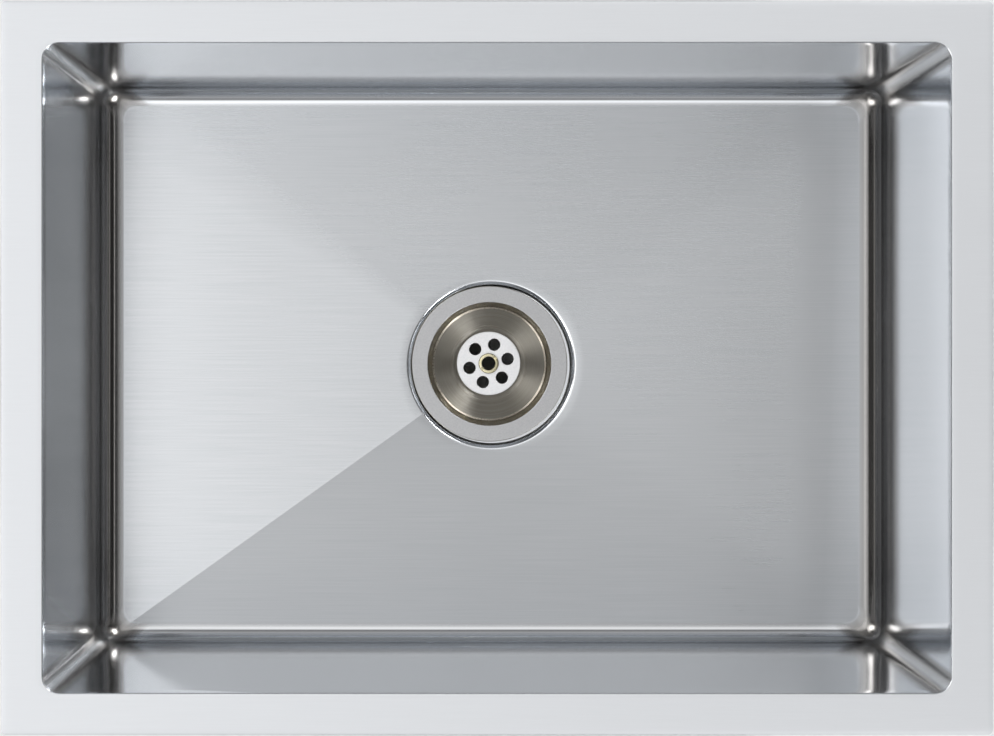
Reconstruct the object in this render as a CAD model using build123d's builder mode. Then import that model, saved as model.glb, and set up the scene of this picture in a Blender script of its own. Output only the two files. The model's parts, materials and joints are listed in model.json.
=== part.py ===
from build123d import *
import math
import os

# Undermount kitchen sink, in millimetres.
# The origin is the middle of the bowl's mouth, in the plane of the rim's top face, which seats against the
# underside of the worktop. +X runs along the long side, +Y to the back, +Z up.

# ---------------------------------------------------------------- driving dimensions
# Bowl
rim_length = 595.0
rim_width = 440.0
rim_border = 25.0
rim_corner_radius = 3.0
rim_edge_break = 0.3
mouth_edge_radius = 0.8
sheet = 1.2
bowl_depth = 200.0
wall_corner_radius = 10.0
wall_lean = 6.5
floor_bend_radius = 12.0
floor_fall = 4.0

# Waste, whose axis stands a little off the middle of the recess. The cup's radii follow from the middle out.
waste_x = -1.2
waste_y = 0.6
screw_bore_radius = 4.9
screw_wall = 1.1
screw_head_overhang = 1.1
screw_head_height = 2.0
screw_chamfer = 0.6
screw_slot_width = 1.8
screw_slot_depth = 1.2
screw_slot_angle = 40.0
screw_washer_inset = 0.2
screw_washer_thickness = 0.8

plate_thickness = 1.5
plate_edge_radius = 0.4
plate_play = 1.3
plate_hole_count = 6
plate_hole_radius = 4.2
plate_hole_gap = 2.5
plate_hole_angle = 13.2

cup_sheet = 1.0
cup_depth = 40.0
cup_well_radius = 23.8
cup_ledge_width = 5.3
cup_well_taper = 1.8
cup_step = 1.4
cup_seat_run = 11.0
cup_seat_drop = 22.0
throat_step = 1.4
throat_taper = 3.1
throat_depth = 8.3
throat_play = 2.5
throat_edge_radius = 1.5
cup_bend_radius = 0.8
flange_width = 11.0

recess_gap = 4.0
recess_depth = 3.2
recess_wall_width = 3.0
recess_corner_radius = 1.2

flange_gasket_thickness = 1.0
body_gasket_thickness = 2.0
gasket_width = 5.5

body_wall = 3.0
body_flange_margin = 2.2
body_flange_thickness = 4.0
body_throat_overlap = 1.0
body_cup_clearance = 2.2
body_skirt_depth = 8.0
body_edge_radius = 0.8
body_bend_radius = 6.0
body_rib_count = 8
body_rib_thickness = 3.0
body_rib_root = 1.0
body_rib_inset = 2.0
boss_wall = 2.5
boss_clearance = 5.0
spoke_count = 4
spoke_thickness = 3.0
insert_wall = 2.0
insert_length = 14.0
insert_lip = 1.0
outlet_thread_radius = 23.9
outlet_thread_length = 18.0
outlet_wall = 4.4
outlet_chamfer = 1.2
outlet_taper_length = 8.0

# Clips, six of them, each on a stud under the rim, a little nearer to the wall than the middle of the border
stud_radius = 2.5
stud_length = 20.0
stud_chamfer = 0.5
long_side_stud_spacing = 320.0
stud_inset = 0.5
clip_side_clearance = 3.0
clip_thickness = 2.0
clip_hole_spacing = 40.0
clip_screw_hole_radius = 2.6
clip_edge_radius = 0.4
clip_rib_centre = 23.0
clip_rib_length = 20.0
clip_rib_width = 5.0
clip_rib_height = 0.8
clip_rib_taper = 20.0
clip_washer_wall = 5.0
clip_washer_thickness = 1.2
nut_hub_wall = 2.5
nut_hub_height = 5.0
nut_hub_taper = 6.0
nut_height = 13.0
nut_side_clearance = 1.5
nut_wing_thickness = 2.4
nut_wing_drop = 1.2
nut_wing_root = 1.5

# Sound pads
pad_thickness = 3.0
pad_corner_radius = 12.0
pad_edge_break = 0.8
wall_pad_height = 105.0
wall_pad_top = 45.0
wall_pad_margin = 70.0
side_floor_pad_reach = 165.0
side_floor_pad_across = 110.0
side_floor_pad_along = 120.0
long_floor_pad_reach = 121.0
long_floor_pad_across = 66.0
long_floor_pad_along = 180.0

# Clearances
seat_gap = 0.1
bond_gap = 0.1
running_clearance = 0.05
hole_clearance = 0.1
free_clearance = 0.3

# ---------------------------------------------------------------- what follows from them
mouth_length = rim_length - 2 * rim_border
mouth_width = rim_width - 2 * rim_border
wall_slope = wall_lean / bowl_depth
wall_angle = math.degrees(math.atan(wall_slope))

screw_shank_radius = screw_bore_radius + screw_wall
screw_head_radius = screw_shank_radius + screw_head_overhang
plate_hole_circle_radius = screw_head_radius + plate_hole_gap + plate_hole_radius
plate_radius = cup_well_radius - plate_play
cup_ledge_radius = cup_well_radius - cup_ledge_width
well_top_radius = cup_well_radius + cup_well_taper
seat_foot_radius = well_top_radius + cup_step
seat_top_radius = seat_foot_radius + cup_seat_run
throat_foot_radius = seat_top_radius + throat_step
throat_radius = throat_foot_radius + throat_taper
flange_radius = throat_radius + flange_width
floor_hole_radius = throat_radius + throat_play
recess_radius = flange_radius + recess_gap
gasket_inner_radius = floor_hole_radius + math.hypot(waste_x, waste_y)
gasket_outer_radius = gasket_inner_radius + gasket_width

recess_floor_z = -bowl_depth - recess_depth
recess_under_z = recess_floor_z - sheet
flange_top_z = recess_floor_z + flange_gasket_thickness + cup_sheet
throat_foot_z = flange_top_z - throat_depth
seat_top_z = throat_foot_z - throat_step / 3
seat_foot_z = seat_top_z - cup_seat_drop
well_top_z = seat_foot_z - cup_step
cup_floor_z = flange_top_z - cup_depth
screw_washer_z = cup_floor_z + plate_thickness + seat_gap
head_under_z = screw_washer_z + screw_washer_thickness + seat_gap
head_top_z = head_under_z + screw_head_height

body_flange_radius = gasket_outer_radius + body_flange_margin
body_throat_radius = gasket_inner_radius - body_throat_overlap
body_foot_radius = seat_foot_radius + cup_sheet + body_cup_clearance
insert_radius = screw_shank_radius + insert_wall
boss_radius = insert_radius + boss_wall
outlet_bore_radius = outlet_thread_radius - outlet_wall
body_top_z = recess_under_z - body_gasket_thickness
body_flange_under_z = body_top_z - body_flange_thickness
skirt_foot_z = body_flange_under_z - body_skirt_depth
boss_top_z = cup_floor_z - cup_sheet - boss_clearance
insert_foot_z = boss_top_z - insert_lip - insert_length
boss_foot_z = insert_foot_z - insert_lip
thread_top_z = boss_foot_z - outlet_taper_length
outlet_foot_z = thread_top_z - outlet_thread_length

stud_wall_distance = rim_border / 2 - stud_inset
clip_width = 2 * (stud_wall_distance - clip_side_clearance)
clip_top_z = -sheet - seat_gap
clip_under_z = clip_top_z - clip_thickness
clip_washer_radius = stud_radius + clip_washer_wall
clip_washer_top_z = clip_under_z - seat_gap
nut_top_z = clip_washer_top_z - clip_washer_thickness - seat_gap
nut_hub_radius = stud_radius + nut_hub_wall
nut_wing_radius = stud_wall_distance - nut_side_clearance

os.makedirs("parts", exist_ok=True)

waste_section = Plane(origin=(waste_x, waste_y, 0), x_dir=(1, 0, 0), z_dir=(0, -1, 0))
waste_axis = Axis((waste_x, waste_y, 0), (0, 0, 1))


def waste_level(z):
    """Horizontal plane at height z, with its middle on the waste's axis."""
    return Plane(origin=(waste_x, waste_y, z))


# ---------------------------------------------------------------- sink bowl
def bowl_space(grow):
    """Space inside the bowl, grown outwards by grow: two crossing troughs, cut to the rounded mouth outline.

    The walls lean in towards the floor, and the floor of each trough slopes to its middle. The higher of the two is the one that shows, which makes
    the four creases, and where the two floor bends cross they meet in a mitre, as folded sheet does.
    """
    with BuildPart() as space:
        troughs = [(Plane.XZ, mouth_length, Mode.ADD), (Plane.YZ, mouth_width, Mode.INTERSECT)]
        for plane, mouth, mode in troughs:
            slope = floor_fall / (mouth / 2)
            side = mouth / 2 + grow * math.hypot(1, wall_slope)
            low_z = -bowl_depth - grow * math.hypot(1, slope)
            foot = (side + wall_slope * low_z) / (1 - wall_slope * slope)
            foot_z = low_z + slope * foot
            with BuildSketch(plane) as trough:
                with BuildLine():
                    Polyline((side, 0), (foot, foot_z), (0, low_z), (-foot, foot_z), (-side, 0), close=True)
                make_face()
                fillet(trough.vertices().group_by(Axis.Y)[1], floor_bend_radius + grow)
            extrude(amount=rim_length, both=True, mode=mode)
        outline_grow = grow * math.hypot(1, wall_slope)
        outline = (mouth_length + 2 * outline_grow, mouth_width + 2 * outline_grow)
        with BuildSketch():
            RectangleRounded(*outline, wall_corner_radius + outline_grow)
        extrude(amount=-bowl_depth - floor_fall, taper=wall_angle, mode=Mode.INTERSECT)
        lip_z = -bowl_depth + floor_fall
        recess_foot_radius = recess_radius - recess_wall_width
        with BuildSketch(Plane.XZ):
            with BuildLine():
                FilletPolyline(
                    (0, recess_floor_z - grow),
                    (recess_foot_radius + grow, recess_floor_z - grow),
                    (recess_radius + grow, -bowl_depth),
                    (recess_radius + grow, lip_z),
                    (0, lip_z),
                    radius=[recess_corner_radius + grow, recess_corner_radius, recess_corner_radius],
                )
                Line((0, lip_z), (0, recess_floor_z - grow))
            make_face()
        revolve(axis=Axis.Z)
    return space.part


bowl_inside = bowl_space(0)
bowl_outside = bowl_space(sheet)

with BuildPart() as sink_bowl:
    with BuildSketch():
        RectangleRounded(rim_length, rim_width, rim_corner_radius)
    extrude(amount=-sheet)
    add(bowl_outside)
    add(bowl_inside, mode=Mode.SUBTRACT)
    mouth_edges = sink_bowl.faces().sort_by(Axis.Z)[-1].inner_wires()[0].edges()
    fillet(mouth_edges, mouth_edge_radius)
    rim_edges = sink_bowl.faces().sort_by(Axis.Z)[-1].outer_wire().edges()
    chamfer(rim_edges, rim_edge_break)
    with BuildSketch(Plane.XY.offset(recess_under_z)):
        Circle(floor_hole_radius)
    extrude(amount=sheet, mode=Mode.SUBTRACT)

sink_bowl.part.label = "sink_bowl"
export_step(sink_bowl.part, "parts/sink_bowl.step")


# ---------------------------------------------------------------- waste
with BuildPart() as waste_cup:
    with BuildSketch(waste_section):
        with BuildLine():
            FilletPolyline(
                (flange_radius, flange_top_z),
                (throat_radius, flange_top_z),
                (throat_foot_radius, throat_foot_z),
                (seat_top_radius, seat_top_z),
                (seat_foot_radius, seat_foot_z),
                (well_top_radius, well_top_z),
                (cup_well_radius, cup_floor_z),
                (cup_ledge_radius, cup_floor_z),
                radius=[throat_edge_radius, *[cup_bend_radius] * 5],
            )
            offset(amount=cup_sheet, side=Side.LEFT)
        make_face()
    revolve(axis=waste_axis)

waste_cup.part.label = "waste_cup"
export_step(waste_cup.part, "parts/waste_cup.step")

with BuildPart() as strainer_plate:
    with BuildSketch(waste_level(cup_floor_z)):
        Circle(plate_radius)
        Circle(screw_shank_radius + free_clearance, mode=Mode.SUBTRACT)
        with PolarLocations(plate_hole_circle_radius, plate_hole_count, start_angle=plate_hole_angle):
            Circle(plate_hole_radius, mode=Mode.SUBTRACT)
    extrude(amount=plate_thickness)
    plate_top_edges = strainer_plate.faces().sort_by(Axis.Z)[-1].edges()
    fillet(plate_top_edges, plate_edge_radius)

strainer_plate.part.label = "strainer_plate"
export_step(strainer_plate.part, "parts/strainer_plate.step")

with BuildPart() as screw_washer:
    with BuildSketch(waste_level(screw_washer_z)):
        Circle(screw_head_radius - screw_washer_inset)
        Circle(screw_shank_radius + hole_clearance, mode=Mode.SUBTRACT)
    extrude(amount=screw_washer_thickness)

screw_washer.part.label = "screw_washer"
export_step(screw_washer.part, "parts/screw_washer.step")

with BuildPart() as clamp_screw:
    with BuildSketch(waste_level(boss_foot_z)):
        Circle(screw_shank_radius)
    extrude(amount=head_under_z - boss_foot_z)
    with BuildSketch(waste_level(head_under_z)):
        Circle(screw_head_radius)
    extrude(amount=screw_head_height)
    end_edges = clamp_screw.edges().group_by(Axis.Z)[0] + clamp_screw.edges().group_by(Axis.Z)[-1]
    chamfer(end_edges, screw_chamfer)
    with BuildSketch(waste_level(boss_foot_z)):
        Circle(screw_bore_radius)
    extrude(amount=head_top_z - boss_foot_z, mode=Mode.SUBTRACT)
    with BuildSketch(waste_level(head_top_z)):
        Rectangle(3 * screw_head_radius, screw_slot_width, rotation=screw_slot_angle)
    extrude(amount=-screw_slot_depth, mode=Mode.SUBTRACT)

clamp_screw.part.label = "clamp_screw"
export_step(clamp_screw.part, "parts/clamp_screw.step")

with BuildPart() as flange_gasket:
    with BuildSketch(waste_level(recess_floor_z)):
        Circle(gasket_outer_radius)
        Circle(gasket_inner_radius, mode=Mode.SUBTRACT)
    extrude(amount=flange_gasket_thickness)

flange_gasket.part.label = "flange_gasket"
export_step(flange_gasket.part, "parts/flange_gasket.step")

with BuildPart() as body_gasket:
    with BuildSketch(waste_level(recess_under_z)):
        Circle(gasket_outer_radius)
        Circle(gasket_inner_radius, mode=Mode.SUBTRACT)
    extrude(amount=-body_gasket_thickness)

body_gasket.part.label = "body_gasket"
export_step(body_gasket.part, "parts/body_gasket.step")

with BuildPart() as waste_body:
    with BuildSketch(waste_section):
        with BuildLine():
            FilletPolyline(
                (body_throat_radius, body_top_z),
                (body_throat_radius, skirt_foot_z),
                (body_foot_radius, boss_top_z),
                (body_foot_radius, insert_foot_z),
                (outlet_bore_radius, boss_foot_z),
                (outlet_bore_radius, outlet_foot_z),
                radius=[body_bend_radius, body_bend_radius, body_wall, body_wall / 2],
            )
            FilletPolyline(
                (body_flange_radius, body_top_z),
                (body_flange_radius, body_flange_under_z),
                (body_throat_radius + body_wall, body_flange_under_z),
                (body_throat_radius + body_wall, skirt_foot_z),
                (body_foot_radius + body_wall, boss_top_z),
                (body_foot_radius + body_wall, insert_foot_z),
                (outlet_thread_radius, thread_top_z),
                (outlet_thread_radius, outlet_foot_z),
                radius=[body_edge_radius, body_edge_radius, body_bend_radius, body_bend_radius,
                        body_wall, body_edge_radius],
            )
            Line((body_throat_radius, body_top_z), (body_flange_radius, body_top_z))
            Line((outlet_bore_radius, outlet_foot_z), (outlet_thread_radius, outlet_foot_z))
        make_face()
    revolve(axis=waste_axis)
    outlet_edge = waste_body.edges().group_by(Axis.Z)[0].sort_by(SortBy.LENGTH)[-1]
    chamfer(outlet_edge, outlet_chamfer)
    # Upright ribs between the flange and the cone
    with BuildSketch(waste_section):
        with BuildLine():
            Polyline(
                (body_throat_radius + body_rib_root, body_flange_under_z + body_rib_root),
                (body_flange_radius - body_rib_inset, body_flange_under_z + body_rib_root),
                (body_flange_radius - body_rib_inset, body_flange_under_z - body_rib_inset),
                (body_foot_radius + 2 * body_wall, boss_top_z),
                (body_foot_radius + body_rib_root, boss_top_z),
                (body_throat_radius + body_rib_root, skirt_foot_z),
                close=True,
            )
        make_face()
    rib = extrude(amount=body_rib_thickness / 2, both=True, mode=Mode.PRIVATE)
    for index in range(body_rib_count):
        add(rib.rotate(waste_axis, index * 360 / body_rib_count))
    # Spokes that carry the boss across the outlet
    with BuildSketch(waste_level(insert_foot_z)):
        with PolarLocations(body_foot_radius / 2, spoke_count):
            Rectangle(body_foot_radius + body_rib_root, spoke_thickness)
    extrude(amount=insert_length)
    with BuildSketch(waste_level(boss_foot_z)):
        Circle(boss_radius)
    extrude(amount=boss_top_z - boss_foot_z)
    with BuildSketch(waste_level(boss_foot_z)):
        Circle(screw_shank_radius + free_clearance)
    extrude(amount=boss_top_z - boss_foot_z, mode=Mode.SUBTRACT)
    with BuildSketch(waste_level(insert_foot_z)):
        Circle(insert_radius + running_clearance)
    extrude(amount=insert_length, mode=Mode.SUBTRACT)

waste_body.part.label = "waste_body"
export_step(waste_body.part, "parts/waste_body.step")

with BuildPart() as threaded_insert:
    with BuildSketch(waste_level(insert_foot_z + seat_gap)):
        Circle(insert_radius)
        Circle(screw_shank_radius + running_clearance, mode=Mode.SUBTRACT)
    extrude(amount=insert_length - 2 * seat_gap)

threaded_insert.part.label = "threaded_insert"
export_step(threaded_insert.part, "parts/threaded_insert.step")


# ---------------------------------------------------------------- clips, studs, washers and wing nuts
stud_x = mouth_length / 2 + sheet + stud_wall_distance
stud_y = mouth_width / 2 + sheet + stud_wall_distance
half_spacing = long_side_stud_spacing / 2

# Name, the stud's place, and the compass angle that points straight out over the rim's edge
clip_places = [
    ("back_left", -half_spacing, stud_y, 90),
    ("back_right", half_spacing, stud_y, 90),
    ("right", stud_x, 0, 0),
    ("front_right", half_spacing, -stud_y, -90),
    ("front_left", -half_spacing, -stud_y, -90),
    ("left", -stud_x, 0, 180),
]

with BuildPart() as rim_studs:
    with BuildSketch(Plane.XY.offset(-sheet)):
        with Locations([(x, y) for _, x, y, _ in clip_places]):
            Circle(stud_radius)
    extrude(amount=-stud_length)
    chamfer(rim_studs.edges().group_by(Axis.Z)[0], stud_chamfer)

rim_studs.part.label = "rim_studs"
export_step(rim_studs.part, "parts/rim_studs.step")

for place, x, y, outward in clip_places:
    # A stowed clip lies along the wall, a quarter turn short of straight out
    stowed = outward - 90
    along = (math.cos(math.radians(stowed)), math.sin(math.radians(stowed)), 0)

    with BuildPart() as fixing_clip:
        with BuildSketch(Plane(origin=(x, y, clip_top_z), x_dir=along)):
            with Locations((clip_hole_spacing / 2, 0)):
                SlotCenterToCenter(clip_hole_spacing, clip_width)
            Circle(stud_radius + hole_clearance, mode=Mode.SUBTRACT)
            with Locations((clip_hole_spacing, 0)):
                Circle(clip_screw_hole_radius, mode=Mode.SUBTRACT)
        extrude(amount=-clip_thickness)
        fillet(fixing_clip.faces().sort_by(Axis.Z)[0].outer_wire().edges(), clip_edge_radius)
        with BuildSketch(Plane(origin=(x, y, clip_under_z), x_dir=along)):
            with Locations((clip_rib_centre, 0)):
                SlotCenterToCenter(clip_rib_length - clip_rib_width, clip_rib_width)
        extrude(amount=-clip_rib_height, taper=clip_rib_taper)

    fixing_clip.part.label = f"fixing_clip_{place}"
    export_step(fixing_clip.part, f"parts/fixing_clip_{place}.step")

    with BuildPart() as clip_washer:
        with BuildSketch(Plane(origin=(x, y, clip_washer_top_z))):
            Circle(clip_washer_radius)
            Circle(stud_radius + hole_clearance, mode=Mode.SUBTRACT)
        extrude(amount=-clip_washer_thickness)

    clip_washer.part.label = f"clip_washer_{place}"
    export_step(clip_washer.part, f"parts/clip_washer_{place}.step")

    with BuildPart() as wing_nut:
        with BuildSketch(Plane(origin=(x, y, nut_top_z))):
            Circle(nut_hub_radius)
        extrude(amount=-nut_hub_height, taper=nut_hub_taper)
        # Two wings that lean out from the hub, drawn in the upright plane along the wall
        wing_root = nut_hub_radius - nut_wing_root
        wing_plane = Plane(origin=(x, y, nut_top_z), x_dir=along, z_dir=(along[1], -along[0], 0))
        with BuildSketch(wing_plane):
            with BuildLine():
                FilletPolyline(
                    (wing_root, -nut_wing_drop),
                    (nut_hub_radius, -nut_wing_drop),
                    (nut_wing_radius, -nut_hub_height),
                    (nut_wing_radius, -nut_height),
                    (nut_hub_radius + nut_wing_drop, -nut_height),
                    (wing_root, -nut_hub_height),
                    radius=[nut_wing_drop / 2, nut_wing_drop, nut_wing_drop, nut_wing_drop],
                )
                Line((wing_root, -nut_hub_height), (wing_root, -nut_wing_drop))
            make_face()
            mirror(about=Plane.YZ)
        extrude(amount=nut_wing_thickness / 2, both=True)
        with BuildSketch(Plane(origin=(x, y, nut_top_z))):
            Circle(stud_radius + running_clearance)
        extrude(amount=-nut_height, mode=Mode.SUBTRACT)

    wing_nut.part.label = f"wing_nut_{place}"
    export_step(wing_nut.part, f"parts/wing_nut_{place}.step")


# ---------------------------------------------------------------- sound pads
# Name, the outward angle of the wall, the wall's distance from the middle, and the mouth's size along it
wall_places = [
    ("right", 0, mouth_length / 2, mouth_width),
    ("back", 90, mouth_width / 2, mouth_length),
    ("left", 180, mouth_length / 2, mouth_width),
    ("front", 270, mouth_width / 2, mouth_length),
]
side_floor_pad = (side_floor_pad_reach, side_floor_pad_across, side_floor_pad_along)
long_floor_pad = (long_floor_pad_reach, long_floor_pad_across, long_floor_pad_along)
floor_pad_sizes = {
    "right": side_floor_pad,
    "back": long_floor_pad,
    "left": side_floor_pad,
    "front": long_floor_pad,
}

for side, angle, wall_distance, wall_size in wall_places:
    outward = (math.cos(math.radians(angle)), math.sin(math.radians(angle)))
    sideways = (-outward[1], outward[0], 0)

    # The wall pad lies flat against its own leaning wall
    pad_z = -wall_pad_top - wall_pad_height / 2
    pad_distance = wall_distance + (sheet + bond_gap) * math.hypot(1, wall_slope) + wall_slope * pad_z
    pad_origin = (pad_distance * outward[0], pad_distance * outward[1], pad_z)
    with BuildPart() as wall_pad:
        with BuildSketch(Plane(origin=pad_origin, x_dir=sideways, z_dir=(*outward, -wall_slope))):
            RectangleRounded(wall_size - 2 * wall_pad_margin, wall_pad_height, pad_corner_radius)
        extrude(amount=pad_thickness)
        outer_face = wall_pad.faces().sort_by(Axis((0, 0, 0), (*outward, 0)))[-1]
        chamfer(outer_face.edges(), pad_edge_break)

    wall_pad.part.label = f"wall_pad_{side}"
    export_step(wall_pad.part, f"parts/wall_pad_{side}.step")

    # The floor pad lies flat against its own sloping quarter of the floor
    reach, pad_across, pad_along = floor_pad_sizes[side]
    slope = floor_fall / wall_distance
    under_z = -bowl_depth - (sheet + bond_gap) * math.hypot(1, slope) + slope * reach
    facet_origin = (reach * outward[0], reach * outward[1], under_z)
    facet_down = (slope * outward[0], slope * outward[1], -1)
    with BuildPart() as floor_pad:
        with BuildSketch(Plane(origin=facet_origin, x_dir=sideways, z_dir=facet_down)):
            RectangleRounded(pad_along, pad_across, pad_corner_radius)
        extrude(amount=pad_thickness)
        chamfer(floor_pad.faces().sort_by(Axis.Z)[0].edges(), pad_edge_break)

    floor_pad.part.label = f"floor_pad_{side}"
    export_step(floor_pad.part, f"parts/floor_pad_{side}.step")
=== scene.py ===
import json
import math
import bmesh
import bpy
import numpy as np
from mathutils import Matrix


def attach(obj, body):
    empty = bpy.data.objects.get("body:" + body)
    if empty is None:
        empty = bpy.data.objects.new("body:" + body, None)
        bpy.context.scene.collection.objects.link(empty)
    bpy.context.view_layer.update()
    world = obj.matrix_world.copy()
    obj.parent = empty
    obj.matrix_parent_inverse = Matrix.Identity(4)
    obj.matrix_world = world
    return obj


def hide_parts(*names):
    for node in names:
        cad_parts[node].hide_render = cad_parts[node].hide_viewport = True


# Undermount kitchen sink in brushed stainless steel, with its strainer waste, clips and sound pads.
# Lengths are in millimetres until piece() turns them into metres. Angles are in degrees where they are written out.
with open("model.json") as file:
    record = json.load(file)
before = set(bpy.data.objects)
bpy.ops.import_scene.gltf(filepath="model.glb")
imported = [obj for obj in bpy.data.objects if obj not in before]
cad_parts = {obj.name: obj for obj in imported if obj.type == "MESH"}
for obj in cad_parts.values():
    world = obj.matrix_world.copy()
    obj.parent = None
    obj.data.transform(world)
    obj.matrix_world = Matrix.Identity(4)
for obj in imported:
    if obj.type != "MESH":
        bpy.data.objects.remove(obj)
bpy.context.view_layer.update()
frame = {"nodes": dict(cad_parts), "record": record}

MM = 0.001

# ---------------------------------------------------------------- sizes that the pieces share
RIM = (297.5, 220.0)
MOUTH = (272.5, 195.0)
SHEET = 1.2
FLOOR = -200.0
FALL = 4.0
WALL_LEAN = 6.5 / 200.0
CORNER = 10.0
# Where each floor bend meets its wall and its floor: lower end of the wall's z, and the two runs from the mouth's line
BEND_TOP = -184.7
BEND_FOOT = 18.0
BEND_EASE = 2.5
RECESS_FLOOR = -203.2
RECESS_RADIUS = 57.5
HOLE_RADIUS = 45.0
WASTE = (-1.2, 0.6)


# ---------------------------------------------------------------- making pieces
def linear(hex_colour):
    """An sRGB hex value as linear red, green, blue and alpha."""
    srgb = np.array([int(hex_colour[i:i + 2], 16) for i in (1, 3, 5)]) / 255
    rgb = np.where(srgb <= 0.04045, srgb / 12.92, ((srgb + 0.055) / 1.055) ** 2.4)
    return (*rgb.tolist(), 1.0)


def smooth(t):
    """Goes from 0 to 1 with level ends, as 3 t squared less 2 t cubed."""
    t = np.clip(t, 0, 1)
    return t * t * (3 - 2 * t)


def corner_values(values):
    """Takes a grid of values, one row and one column more than the faces, to each face's corners."""
    return np.stack([values[:-1, :-1], values[:-1, 1:], values[1:, 1:], values[1:, :-1]], axis=2)


def piece(name, points, body, closed_rows=False, closed_columns=True, grain=None, marks=None, kinds=None):
    """A mesh whose faces join each four neighbours of a grid of points, rows by columns, in millimetres.

    grain has two lengths for each face's corner, across and along the brushing, and makes the UV map. marks are named
    values, one for each point, and kinds picks each face's material.
    """
    rows, columns = points.shape[:2]
    i, j = np.meshgrid(np.arange(rows if closed_rows else rows - 1),
                       np.arange(columns if closed_columns else columns - 1), indexing="ij")
    after_i, after_j = (i + 1) % rows, (j + 1) % columns
    faces = np.stack([i * columns + j, i * columns + after_j, after_i * columns + after_j, after_i * columns + j], -1)
    mesh = bpy.data.meshes.new(name)
    mesh.from_pydata((points.reshape(-1, 3) * MM).tolist(), [], faces.reshape(-1, 4).tolist())
    mesh.shade_smooth()
    if grain is not None:
        uv = mesh.uv_layers.new(name="grain")
        uv.data.foreach_set("uv", grain.reshape(-1).astype(np.float32))
    for mark, values in (marks or {}).items():
        attribute = mesh.attributes.new(mark, "FLOAT", "POINT")
        attribute.data.foreach_set("value", values.reshape(-1).astype(np.float32))
    if kinds is not None:
        mesh.polygons.foreach_set("material_index", kinds.reshape(-1).astype(np.int32))
    edit = bmesh.new()
    edit.from_mesh(mesh)
    bmesh.ops.remove_doubles(edit, verts=edit.verts, dist=1e-6)
    bmesh.ops.recalc_face_normals(edit, faces=edit.faces)
    edit.to_mesh(mesh)
    edit.free()
    made = bpy.data.objects.new(name, mesh)
    bpy.context.scene.collection.objects.link(made)
    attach(made, body)
    return made


def dress(made, *materials):
    """Puts the materials in the piece's slots, and leaves each face the slot it has."""
    slots = made.data.materials
    for index, material in enumerate(materials):
        if index < len(slots):
            slots[index] = material
        else:
            slots.append(material)


def rounded_profile(corners, radii, steps=6):
    """An open line through corners, each inner one rounded by an arc of its radius.

    An arc leaves its corner's two runs at the distance radius times tan of half the turn, and its points are worked
    out on the quadratic through those two places and the corner, which is an arc to within a few microns here.
    """
    corners = np.array(corners, float)
    before, here, after = corners[:-2], corners[1:-1], corners[2:]
    back = before - here
    forth = after - here
    back /= np.linalg.norm(back, axis=1, keepdims=True)
    forth /= np.linalg.norm(forth, axis=1, keepdims=True)
    half_turn = (math.pi - np.arccos(np.clip((back * forth).sum(1), -1, 1))) / 2
    cut = (np.array(radii) * np.tan(half_turn))[:, None]
    t = np.linspace(0, 1, steps)[None, :, None]
    start, end = (here + back * cut)[:, None], (here + forth * cut)[:, None]
    weight = np.cos(half_turn)[:, None, None]
    middle = here[:, None]
    share = (1 - t) ** 2 + 2 * weight * t * (1 - t) + t ** 2
    arcs = ((1 - t) ** 2 * start + 2 * weight * t * (1 - t) * middle + t ** 2 * end) / share
    return np.concatenate([corners[:1], arcs.reshape(-1, 2), corners[-1:]])


def lathe(name, profile, body, count=144, centre=WASTE, closed=True, kinds=None):
    """The profile's radius r and height z turned about an upright line: x = cx + r cos a, y = cy + r sin a."""
    profile = np.array(profile, float)
    angle = np.linspace(0, 2 * math.pi, count, endpoint=False)
    r, z = profile[:, :1], profile[:, 1:]
    points = np.stack([centre[0] + r * np.cos(angle), centre[1] + r * np.sin(angle), z + 0 * angle], -1)
    loop = np.concatenate([profile, profile[:1]]) if closed else profile
    length = np.concatenate([[0], np.cumsum(np.linalg.norm(np.diff(loop, axis=0), axis=1))])
    turn = np.linspace(0, 2 * math.pi, count + 1)
    across, along = np.meshgrid(length, turn * 30.0, indexing="ij")
    grain = corner_values(np.stack([across, along], -1))
    kinds = None if kinds is None else np.repeat(np.array(kinds)[:, None], count, 1)
    return piece(name, points, body, closed_rows=closed, grain=grain, kinds=kinds)


# ---------------------------------------------------------------- materials
# The mix node's inputs and output by place, because its names repeat for each kind of value
FACTOR, FIRST_VALUE, SECOND_VALUE, FIRST_COLOUR, SECOND_COLOUR, MIXED_VALUE, MIXED_COLOUR = 0, 2, 3, 6, 7, 0, 2


def add(tree, kind, inputs=None, **settings):
    """Adds a node with its settings. Each of its inputs takes a value, or a link from another node's output."""
    made = tree.nodes.new(kind)
    for name, value in settings.items():
        setattr(made, name, value)
    for name, value in (inputs or {}).items():
        if isinstance(value, bpy.types.NodeSocket):
            tree.links.new(value, made.inputs[name])
        else:
            made.inputs[name].default_value = value
    return made


def start(name, colour, roughness, metallic=0.0, **inputs):
    """A new material with one shader, and its constants on the shader's own inputs."""
    made = bpy.data.materials.new(name)
    made.use_nodes = True
    tree = made.node_tree
    shader = tree.nodes["Principled BSDF"]
    shader.inputs["Base Color"].default_value = linear(colour)
    shader.inputs["Roughness"].default_value = roughness
    shader.inputs["Metallic"].default_value = metallic
    for key, value in inputs.items():
        shader.inputs[key.replace("_", " ")].default_value = value
    return made, tree, shader


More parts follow.
